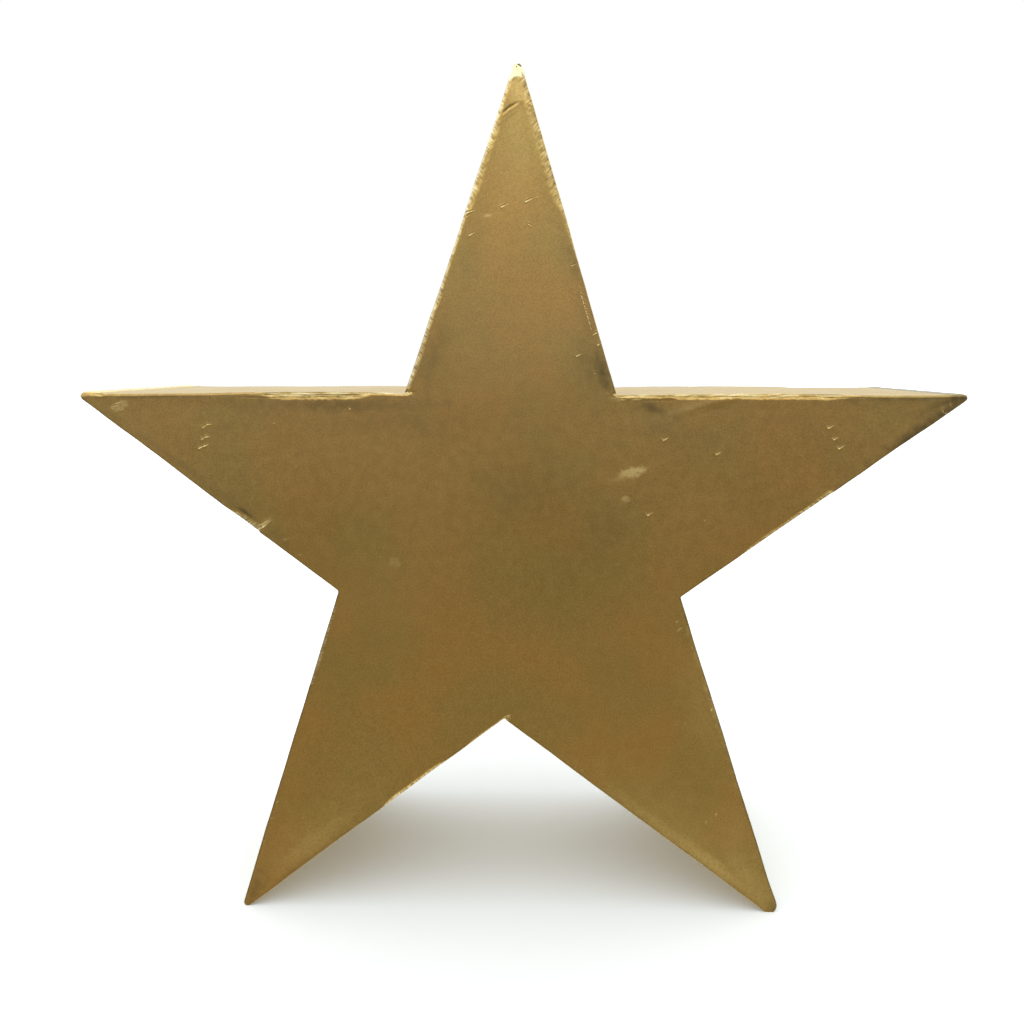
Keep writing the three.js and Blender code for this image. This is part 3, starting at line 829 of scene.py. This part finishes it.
def build_sheet(sheet, material):
    """A star sheet with a rounded, filed and nicked outer face and a plain inner one."""
    rims, wanted = face_points(sheet)
    points, triangles, number = triangulate(sheet, wanted, rims)
    drop, surface_looks = sheet_surface(sheet, points, np.maximum(sheet.inside(points), 0))
    drop = np.clip(drop, -MOST_RISE, SHEET - LEAST_SHEET)
    placed = lifted(points) if sheet.facing < 0 else hand_filed(points)
    outer = np.stack([placed[:, 0], sheet.face - sheet.facing * drop, placed[:, 1]], axis=1)
    edge = [number[k] for rim in rims for k in rim]
    inner = outer[edge].copy()
    inner[:, 1] = sheet.face - sheet.facing * SHEET
    _, inner_triangles, inner_number = triangulate(sheet, points[edge], rims)
    matching = {place: len(outer) + wanted for wanted, place in inner_number.items()}
    faces = [oriented(face, sheet.facing) for face in triangles.tolist()]
    faces += [oriented([matching[i] for i in face], -sheet.facing) for face in inner_triangles.tolist()]
    for rim in rims:
        for k in range(len(rim)):
            here, after = rim[k], rim[(k + 1) % len(rim)]
            side = [number[here], len(outer) + here, len(outer) + after, number[after]]
            faces.append(oriented(side, sheet.facing))
    attributes = {key: np.concatenate([value, value[edge]]) for key, value in surface_looks.items()}
    grain = file_grain(points)
    attributes["grain"] = np.concatenate([grain, grain[edge]])
    vertices = np.concatenate([outer, inner])
    return make_piece(sheet.name, vertices, faces, attributes, material, [sheet.node])


def oriented(face, facing):
    """Counter-clockwise in (x, z) faces the front, where y is lowest."""
    return list(face) if facing < 0 else list(reversed(face))


# ---------------------------------------------------------------- materials

class Metal:
    """A metal's node tree. Its colour starts as one plain coat and gets others on top."""

    def __init__(self, name, colour):
        self.material = bpy.data.materials.new(name)
        self.material.use_nodes = True
        self.tree = self.material.node_tree
        self.tree.nodes.clear()
        self.shader = self.add("BsdfPrincipled")
        self.shader.inputs["Metallic"].default_value = 1
        self.join(self.shader.outputs["BSDF"], self.add("OutputMaterial").inputs["Surface"])
        self.place = self.add("TexCoord").outputs["Object"]
        self.colour = colour

    def add(self, kind, **settings):
        node = self.tree.nodes.new("ShaderNode" + kind)
        for key, value in settings.items():
            setattr(node, key, value)
        return node

    def join(self, value, socket):
        if isinstance(value, bpy.types.NodeSocket):
            self.tree.links.new(value, socket)
        else:
            socket.default_value = value

    def surface_looks(self, name, output="Fac"):
        return self.add("Attribute", attribute_name=name).outputs[output]

    def noise(self, size, detail, stretch=None):
        """Soft random patches about `size` millimetres across, along the file strokes if stretched."""
        node = self.add("TexNoise")
        node.inputs["Detail"].default_value = detail
        node.inputs["Scale"].default_value = 1 / (size if stretch else size * MM)
        place = self.vector("MULTIPLY", self.surface_looks("grain", "Vector"), stretch) if stretch else self.place
        self.join(place, node.inputs["Vector"])
        return node.outputs["Fac"]

    def spread(self, value, low, high, to_low=0, to_high=1):
        node = self.add("MapRange", interpolation_type="SMOOTHSTEP")
        for key, number in (("From Min", low), ("From Max", high), ("To Min", to_low), ("To Max", to_high)):
            node.inputs[key].default_value = number
        self.join(value, node.inputs["Value"])
        return node.outputs["Result"]

    def clouds(self, size, detail, *limits, stretch=None):
        return self.spread(self.noise(size, detail, stretch), *limits)

    def band(self, value, low, high):
        """1 where the value lies between low and high, with soft ends."""
        rising = self.spread(value, low - BAND_SOFT, low + BAND_SOFT)
        return self.times(rising, self.spread(value, high - BAND_SOFT, high + BAND_SOFT, 1, 0))

    def calculate(self, operation, a, b):
        node = self.add("Math", operation=operation)
        self.join(a, node.inputs[0])
        self.join(b, node.inputs[1])
        return node.outputs[0]

    def times(self, a, b):
        return self.calculate("MULTIPLY", a, b)

    def plus(self, a, b):
        return self.calculate("ADD", a, b)

    def vector(self, operation, a, b):
        node = self.add("VectorMath", operation=operation)
        self.join(a, node.inputs[0])
        self.join(b, node.inputs["Scale" if operation == "SCALE" else 1])
        return node.outputs[0]

    def mix(self, share, a, b):
        node = self.add("Mix", data_type="RGBA")
        for key, value in (("Factor", share), ("A", a), ("B", b)):
            self.join(value, node.inputs[key])
        return node.outputs["Result"]

    def coat(self, share, colour):
        self.colour = self.mix(share, self.colour, colour)

    def brighten(self, times):
        self.colour = self.vector("SCALE", self.colour, times)

    def finish(self, roughness, relief, rise):
        """The material, with relief whose highest spots stand `rise` millimetres over its lowest."""
        self.join(self.colour, self.shader.inputs["Base Color"])
        self.join(roughness, self.shader.inputs["Roughness"])
        node = self.add("Bump")
        node.inputs["Distance"].default_value = rise * MM
        node.inputs["Strength"].default_value = 1
        self.join(relief, node.inputs["Height"])
        self.join(node.outputs["Normal"], self.shader.inputs["Normal"])
        return self.material


BAND_SOFT = 0.12
BROWN = (0.498, 0.287, 0.086, 1)
OLIVE = (0.442, 0.284, 0.086, 1)
GOLDEN = (0.56, 0.38, 0.13, 1)
LIGHT = (0.86, 0.62, 0.24, 1)
DARK = (0.16, 0.115, 0.05, 1)
UMBER = (0.115, 0.07, 0.014, 1)
RUBBED = (0.52, 0.35, 0.125, 1)
PALE = (0.58, 0.47, 0.26, 1)
CREAM = (0.74, 0.65, 0.4, 1)
GREY = (0.42, 0.37, 0.25, 1)
BUFF, STRAW = (0.6, 0.475, 0.265, 1), (0.67, 0.535, 0.31, 1)  # between the strips' file strokes, on them
STRIP_TINT = (0.9, 0.78, 0.58, 1)


def aged_sheet_metal():
    """Brown patina, clouded olive, thin where it is rubbed and gone where it is filed or nicked, dark where
    stained and where shade is painted.
    """
    metal = Metal("aged_sheet_brass", BROWN)
    stain_and_shade, bare, filler = metal.surface_looks("stain_and_shade"), metal.surface_looks("bare"), metal.surface_looks("filler")
    metal.coat(metal.clouds(34, 2, 0.36, 0.64), OLIVE)
    metal.coat(metal.clouds(60, 3, 0.4, 0.7, 0, 0.16), GOLDEN)
    metal.brighten(metal.clouds(0.55, 3, 0.3, 0.7, 0.89, 1.11))
    metal.coat(metal.times(metal.surface_looks("thin"), metal.clouds(1, 3, 0.3, 0.62, 0.55, 1.15)), LIGHT)
    # Dark where stained, and painted shade where the smudges and edge lines put it
    metal.coat(metal.times(stain_and_shade, metal.clouds(2.2, 3, 0.3, 0.6, 0.6, 1)), DARK)
    hatch = metal.clouds(0.55, 2, 0.3, 0.7, -0.28, 0.28, stretch=(1, 0.14, 1))
    uneven = metal.plus(hatch, metal.clouds(0.8, 3, 0.3, 0.7, -0.16, 0.16))
    worn = metal.plus(bare, metal.times(uneven, metal.spread(bare, 0.02, 0.25)))
    metal.coat(metal.spread(worn, 0.08, 0.55), RUBBED)
    metal.coat(metal.times(metal.clouds(0.7, 2, 0.36, 0.42, 0.75, 0), metal.band(bare, 0.3, 0.68)), BROWN)
    metal.coat(metal.spread(worn, 0.5, 0.95), PALE)
    metal.brighten(metal.plus(metal.times(hatch, metal.spread(bare, 0.15, 0.5)), 1))
    # Umber on filed metal where stained, and painted shade in the grooves along the arms' top edges
    metal.coat(metal.times(stain_and_shade, metal.spread(bare, 0.2, 0.5, 0, 0.95)), UMBER)
    metal.coat(filler, CREAM)
    metal.coat(metal.spread(metal.times(stain_and_shade, filler), 0.2, 0.8), DARK)
    rough = metal.plus(metal.clouds(3.4, 3, 0.3, 0.7, 0.25, 0.31), metal.times(bare, 0.06))
    relief = metal.plus(metal.noise(0.6, 3), metal.times(metal.noise(2.6, 2), 3))
    relief = metal.plus(relief, metal.times(hatch, metal.spread(bare, 0.1, 0.5, 0, 3)))
    return metal.finish(rough, relief, 0.005)


def filed_strip_metal():
    """Pale filed brass with long strokes, flux stains beside the seams, and painted shade on the end faces.
    """
    metal = Metal("filed_strip_brass", BUFF)
    metal.coat(metal.clouds(1, 3, 0.3, 0.7, stretch=(0.03, 1.6, 1.6)), STRAW)
    metal.coat(metal.clouds(30, 2, 0.42, 0.7, 0, 0.35), GOLDEN)
    metal.coat(metal.clouds(9, 3, 0.5, 0.78, 0, 0.2), BROWN)
    # Flux stains, and painted shade on the end faces
    metal.coat(metal.times(metal.surface_looks("stain_and_shade"), metal.clouds(1.6, 3, 0.25, 0.6, 0.6, 1)), DARK)
    metal.shader.inputs["Specular Tint"].default_value = STRIP_TINT
    rough = metal.clouds(1, 2, 0.3, 0.7, 0.27, 0.36, stretch=(0.05, 0.9, 0.9))
    return metal.finish(rough, metal.noise(1, 3, (0.04, 2.2, 2.2)), 0.014)


def braze_metal():
    """Braze filler: paler and greyer than brass, pitted, with traces of flux and painted shade on the right
    tip.
    """
    metal = Metal("braze_filler", PALE)
    metal.coat(metal.clouds(2.4, 3, 0.35, 0.65), CREAM)
    tarnish = metal.clouds(3.6, 4, 0.48, 0.7, 0, 0.5)
    metal.coat(tarnish, GOLDEN)
    metal.coat(metal.surface_looks("tan"), metal.mix(tarnish, LIGHT, GOLDEN))
    metal.coat(metal.surface_looks("dull"), GREY)
    # Flux traces, and painted shade on the right tip
    metal.coat(metal.surface_looks("stain_and_shade"), DARK)
    pits = metal.clouds(0.8, 2, 0.27, 0.33, 1, 0)
    metal.coat(pits, DARK)
    relief = metal.calculate("SUBTRACT", metal.noise(1.1, 3), pits)
    return metal.finish(metal.clouds(1.4, 3, 0.3, 0.7, 0.32, 0.46), relief, 0.05)


# ---------------------------------------------------------------- side strips and seams

def strip_path(i, end_at, spacing):
    """Points along strip i with the direction out of the star at each, and the way gone so far."""
    tip, valley, onward = CORNERS[2 * i], CORNERS[2 * i + 1], CORNERS[(2 * i + 2) % 10]
    start = tip.at + tip.after * end_at
    end = onward.at + onward.before * end_at
    arc = valley.arc(ARC_STEPS)
    first = np.concatenate([[start], straight(start, arc[0], spacing)])
    last = np.concatenate([straight(arc[-1], end, spacing), [end]])
    points = np.concatenate([first, arc, last])
    out_first, out_last = (-EDGES[TIPS[k % 5], VALLEYS[i]].inward for k in (i, i + 1))
    out_arc = (valley.centre - arc) / valley.radius
    outward = np.concatenate([[out_first] * len(first), out_arc, [out_last] * len(last)])
    gone = np.concatenate([[0], np.cumsum(np.linalg.norm(np.diff(points, axis=0), axis=1))])
    return points, outward, gone


def sweep(points, outward, sections):
    """Vertices and faces of a closed body: sections[j] is a loop of (out, y) at points[j]."""
    vertices = []
    for at, out, loop in zip(points, outward, sections):
        flat = at + loop[:, :1] * out
        vertices.append(np.stack([flat[:, 0], loop[:, 1], flat[:, 1]], axis=1))
    return np.concatenate(vertices), ring_faces(len(points), len(sections[0]))


def ring_faces(count, around):
    """Faces of a closed body made of `count` rings of `around` points each."""
    faces = []
    for j in range(count - 1):
        for k in range(around):
            after = (k + 1) % around
            faces.append([j * around + k, j * around + after, (j + 1) * around + after, (j + 1) * around + k])
    faces.append(list(range(around))[::-1])
    faces.append([(count - 1) * around + k for k in range(around)])
    return faces


def corner_arc(out, y, radius, start):
    """A quarter round about (out, y), from the angle start, in three steps."""
    angles = start + np.arange(4) * math.pi / 6
    return np.stack([out + radius * np.cos(angles), y + radius * np.sin(angles)], axis=1)


def strip_section(half_width, proud, thickness):
    """The loop round a strip: outer face, back end, inner face, front end."""
    r = STRIP_ARRIS
    outer = np.linspace(-half_width + r, half_width - r, WALL_POINTS + 2)[1:-1]
    inner = np.linspace(half_width - r, -half_width + r, INSIDE_POINTS + 2)[1:-1]
    loop = np.concatenate([
        corner_arc(proud - r, -half_width + r, r, -math.pi / 2),
        np.stack([np.full(len(outer), proud), outer], axis=1),
        corner_arc(proud - r, half_width - r, r, 0),
        corner_arc(proud - thickness + r, half_width - r, r, math.pi / 2),
        np.stack([np.full(len(inner), proud - thickness), inner], axis=1),
        corner_arc(proud - thickness + r, -half_width + r, r, math.pi),
    ])
    return loop[::-1]


def proudness(i, points):
    """How far strip i stands proud of the sheets' edges."""
    amount = STRIP_PROUD + 0.06 * smooth_noise(points[:, 0], points[:, 1], 14, 90 + i)
    if VALLEYS[i] in STRIP_LIFTS:
        name, lift, start, end, soft = STRIP_LIFTS[VALLEYS[i]]
        along, depth = EDGES[name].measure(points)
        on_arm = (np.abs(depth) < 0.5) & (along < VALLEY_NEAR)
        amount += np.where(on_arm, lift * inside_range(along, start, end, soft), 0)
    return amount


def build_strip(i, material):
    node = "side_strip_" + VALLEYS[i]
    low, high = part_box(node)
    half = (high.y - low.y) / MM / 2 + JOINT_OVERLAP
    points, outward, gone = strip_path(i, STRIP_END - TIP_OVERLAP, STRIP_STEP)
    proud = proudness(i, points)
    sections = []
    for distance, out in zip(gone, proud):
        loop = strip_section(half, out, SHEET)
        waves = layered_noise(distance, loop[:, 1], i, WALL_WAVES)
        loop[:, 0] += waves * between(half - np.abs(loop[:, 1]), 0, WAVES_SETTLE)
        sections.append(loop)
    vertices, faces = sweep(points, outward, sections)
    along = np.repeat(gone, len(loop))
    out = np.concatenate(sections)[:, 0] - np.repeat(proud, len(loop))
    grain = np.stack([along, vertices[:, 1], out], axis=1)
    stain_and_shade = wall_stain_and_shade(along, vertices[:, 1], half, i)
    vertices[:, [0, 2]] = hand_filed(vertices[:, [0, 2]])
    return make_piece("side_wall_" + VALLEYS[i], vertices, faces, {"stain_and_shade": stain_and_shade, "grain": grain},
                      material, [node])


def wall_stain_and_shade(along, y, half, i):
    """Flux stains beside a strip's two seams, and painted shade on its end faces."""
    across = np.abs(y)
    near_seam = between(across + 1.6 * smooth_noise(along, y, 4, 120 + i), half - 4, half)
    # Painted shade on the end faces, where a strip stands proud of the sheets' edges
    end_face = between(across, half - 0.12, half - 0.02)
    return np.maximum(0.25 * near_seam, 0.12 * end_face)


def seam_section(side, joint, tongue, swell):
    """The loop round a seam: a bead inside the corner and a thin tongue out through the joint."""
    loop = np.array([
        (-tongue, -0.02), (-SHEET - 0.2, -0.02), (-SHEET - 1.6, -0.02), (-SHEET - 2.8, 0),
        (-SHEET - 3.2 * swell, 0.35), (-SHEET - 3 * swell, 1.1 * swell), (-SHEET - 2.2 * swell, 2 * swell),
        (-SHEET - 1.2, 2.7 * swell), (-SHEET - 0.5, 3 * swell), (-SHEET - 0.05, 2.9 * swell),
        (-SHEET - 0.02, 1.6), (-SHEET - 0.02, 0.45), (-SHEET + 0.1, 0.22), (-tongue, 0.22),
    ])
    loop[:, 1] = joint - side * loop[:, 1]
    return loop[::-1] if side > 0 else loop


def build_seam(i, side, material):
    """The braze seam between strip i and the front sheet (side -1) or the back sheet (side 1)."""
    where = "front" if side < 0 else "back"
    joint = side * (HALF_DEPTH - SHEET)
    points, outward, gone = strip_path(i, STRIP_END + 2, SEAM_STEP)
    seed = 130 + 2 * i + (side > 0)
    swell = 1 + 0.12 * smooth_noise(gone, 0, 2.6, seed)
    tongue = 0.09 + 0.11 * smooth_noise(gone, 0, 5, seed + 20)
    sections = [seam_section(side, joint, t, s) for t, s in zip(tongue, swell)]
    vertices, faces = sweep(points, outward, sections)
    vertices[:, [0, 2]] = hand_filed(vertices[:, [0, 2]])
    stain_and_shade = np.repeat(between(tongue, 0.08, 0.25), len(sections[0]))
    return make_piece(f"{where}_braze_{VALLEYS[i]}", vertices, faces, {"stain_and_shade": stain_and_shade}, material,
                      [f"{where}_seam_{VALLEYS[i]}"])


# How tan, how dull and grey, and how stained the filler is in each tip; the right tip's large stain value is
# painted shade on that side
TIP_LOOKS = {
    "top": (0, 0, 0), "right": (0.6, 0, 0.8), "lower_right": (0.4, 0.55, 0.1),
    "lower_left": (0.8, 0.1, 0.35), "left": (0.9, 0, 0),
}


def tip_outline(i):
    """The filler's loop in tip i, worn nose first, and how many of its points are on the outside."""
    tip = CORNERS[2 * i]
    inward = [EDGES[TIPS[i], VALLEYS[i - 1]].inward, EDGES[TIPS[i], VALLEYS[i]].inward]
    ways = (tip.before, tip.after)
    shoulder = [tip.at + way * (STRIP_END + TIP_OVERLAP) for way in ways]
    arc = tip.arc(2 * ARC_STEPS)
    nose = np.concatenate([
        [shoulder[0]], straight(shoulder[0], arc[0], TIP_STEP), arc,
        straight(arc[-1], shoulder[1], TIP_STEP), [shoulder[1]],
    ])
    under = SHEET + 0.1
    neck = [shoulder[k] + inward[k] * under for k in (0, 1)]
    root = [tip.at + ways[k] * FILLER_END + inward[k] * under for k in (0, 1)]
    hollow = tip.at + unit(CENTRE - tip.at) * (FILLER_END - 2)
    inside = [neck[1], root[1], (root[1] + hollow) / 2, hollow, (root[0] + hollow) / 2, root[0], neck[0]]
    return np.concatenate([nose, inside]), len(nose)


def build_tip(i, material):
    """The filler in tip i: a worn nose outside and a wedge between the two strips' ends."""
    node = "tip_braze_" + TIPS[i]
    low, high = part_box(node)
    outline, outside = tip_outline(i)
    around = len(outline)
    gone = np.cumsum(np.linalg.norm(outline - np.roll(outline, 1, axis=0), axis=1))
    along = np.roll(outline, -1, axis=0) - np.roll(outline, 1, axis=0)
    outward = np.stack([-along[:, 1], along[:, 0]], axis=1) / np.linalg.norm(along, axis=1)[:, None]
    outward[outside:] = 0
    half = (high.y - low.y) / MM / 2 + TIP_OVERLAP
    rings = []
    for y in np.linspace(-half, half, TIP_LEVELS):
        swelling = FILLER_PROUD + layered_noise(gone, y, i, FILLER_LUMPS)
        swelling -= FILLER_END_ROUND * (1 - between(half - abs(y), 0, 0.6))
        flat = hand_filed(outline + outward * swelling[:, None])
        rings.append(np.stack([flat[:, 0], np.full(around, y), flat[:, 1]], axis=1))
    vertices = np.concatenate(rings)
    looks = {key: np.full(len(vertices), value)
             for key, value in zip(("tan", "dull", "stain_and_shade"), TIP_LOOKS[TIPS[i]])}
    return make_piece("tip_filler_" + TIPS[i], vertices, ring_faces(TIP_LEVELS, around), looks, material,
                      [node])


# ---------------------------------------------------------------- studio

def add_camera():
    data = bpy.data.cameras.new("camera")
    data.lens = CAMERA_LENS
    data.sensor_width = CAMERA_SENSOR
    data.shift_y = CAMERA_SHIFT
    data.clip_start = 0.01
    camera = bpy.data.objects.new("camera", data)
    turn = Matrix.Rotation(CAMERA_TURN, 4, "Z") @ Matrix.Rotation(math.pi / 2 - CAMERA_DIP, 4, "X")
    camera.matrix_world = Matrix.Translation(CAMERA_PLACE) @ turn @ Matrix.Rotation(CAMERA_ROLL, 4, "Z")
    bpy.context.scene.collection.objects.link(camera)
    bpy.context.scene.camera = camera


# The light from each height: the sine of the angle above the horizon, and its strength in red,
# green and blue. It is warm below, where a table throws it back, and cool and strong above.
SKY = (
    (-1, (1.3, 1.32, 1.25)), (-0.5, (0.46, 0.45, 0.36)), (-0.25, (0.45, 0.44, 0.34)),
    (-0.13, (0.32, 0.31, 0.28)), (0, (0.52, 0.54, 0.62)), (0.07, (0.67, 0.7, 0.86)),
    (0.15, (0.68, 0.72, 0.84)), (0.25, (0.86, 0.92, 0.9)), (0.38, (1.55, 1.68, 1.7)),
    (0.6, (1.75, 1.86, 1.9)), (1, (1.6, 1.7, 1.75)),
)


def add_light():
    """A soft studio: bright overhead, dim at the horizon, and white behind the star."""
    world = bpy.data.worlds.new("studio")
    world.use_nodes = True
    world.node_tree.nodes.clear()
    new, link = world.node_tree.nodes.new, world.node_tree.links.new
    split = new("ShaderNodeSeparateXYZ")
    link(new("ShaderNodeTexCoord").outputs["Generated"], split.inputs[0])
    height = new("ShaderNodeMapRange")
    height.inputs["From Min"].default_value = -1
    link(split.outputs["Z"], height.inputs["Value"])
    ramp = new("ShaderNodeValToRGB")
    link(height.outputs[0], ramp.inputs[0])
    stops = ramp.color_ramp.elements
    while len(stops) < len(SKY):
        stops.new(0.5)
    brightest = max(max(light) for _, light in SKY)
    for stop, (sine, light) in zip(stops, SKY):
        stop.position = (sine + 1) / 2
        stop.color = tuple(channel / brightest for channel in light) + (1,)
    sky = new("ShaderNodeBackground")
    sky.inputs["Strength"].default_value = brightest
    link(ramp.outputs[0], sky.inputs["Color"])
    white = new("ShaderNodeBackground")
    white.inputs["Color"].default_value = (1, 1, 1, 1)
    choose = new("ShaderNodeMixShader")
    link(new("ShaderNodeLightPath").outputs["Is Camera Ray"], choose.inputs[0])
    link(sky.outputs[0], choose.inputs[1])
    link(white.outputs[0], choose.inputs[2])
    link(choose.outputs[0], new("ShaderNodeOutputWorld").inputs["Surface"])
    bpy.context.scene.world = world


def add_floor():
    mesh = bpy.data.meshes.new("floor")
    x = y = FLOOR_REACH
    mesh.from_pydata([(-x, -y, 0), (x, -y, 0), (x, y, 0), (-x, y, 0)], [], [[0, 1, 2, 3]])
    floor = bpy.data.objects.new("floor", mesh)
    material = bpy.data.materials.new("floor")
    material.use_nodes = True
    shader = material.node_tree.nodes["Principled BSDF"]
    shader.inputs["Base Color"].default_value = FLOOR_COLOUR
    shader.inputs["Roughness"].default_value = 0.9
    mesh.materials.append(material)
    bpy.context.scene.collection.objects.link(floor)
    floor.visible_glossy = False


# ---------------------------------------------------------------- the scene

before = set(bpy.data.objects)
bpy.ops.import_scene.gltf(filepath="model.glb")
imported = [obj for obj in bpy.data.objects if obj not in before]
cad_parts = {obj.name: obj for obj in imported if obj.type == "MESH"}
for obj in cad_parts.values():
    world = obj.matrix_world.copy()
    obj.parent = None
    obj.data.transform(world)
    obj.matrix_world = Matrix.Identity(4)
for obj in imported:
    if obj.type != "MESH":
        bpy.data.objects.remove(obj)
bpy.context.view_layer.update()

plate_low, plate_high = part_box("front_plate")
SHEET = (plate_high.y - plate_low.y) / MM
HALF_DEPTH = -plate_low.y / MM
CORNERS = find_corners(read_outline())
CENTRE = np.mean([corner.at for corner in CORNERS[1::2]], axis=0)
TIP_TOP = CORNERS[0].centre + np.array([0, CORNERS[0].radius])
EDGES = {}
for i in range(5):
    EDGES[TIPS[i], VALLEYS[i]] = Edge(CORNERS[2 * i].at, CORNERS[2 * i + 1].at)
    EDGES[TIPS[(i + 1) % 5], VALLEYS[i]] = Edge(CORNERS[(2 * i + 2) % 10].at, CORNERS[2 * i + 1].at)

add_camera()
add_light()
add_floor()
bpy.context.scene.view_settings.view_transform = "Standard"

sheet_metal = aged_sheet_metal()
strip_metal = filed_strip_metal()
filler_metal = braze_metal()

front = Sheet("front_sheet", "front_plate", -HALF_DEPTH, -1,
              (FRONT_STROKES, FRONT_SMEARS, FRONT_SCUFFS, FRONT_SMUDGES_AND_SHADE, FRONT_BEVELS), [], 21)
back = Sheet("back_sheet", "back_plate", HALF_DEPTH, 1,
             (BACK_STROKES, BACK_SMEARS, BACK_SCUFFS, BACK_SMUDGES, BACK_BEVELS), [read_vent()], 25)
build_sheet(front, sheet_metal)
build_sheet(back, sheet_metal)
for i in range(5):
    build_strip(i, strip_metal)
    build_seam(i, -1, filler_metal)
    build_seam(i, 1, filler_metal)
    build_tip(i, filler_metal)
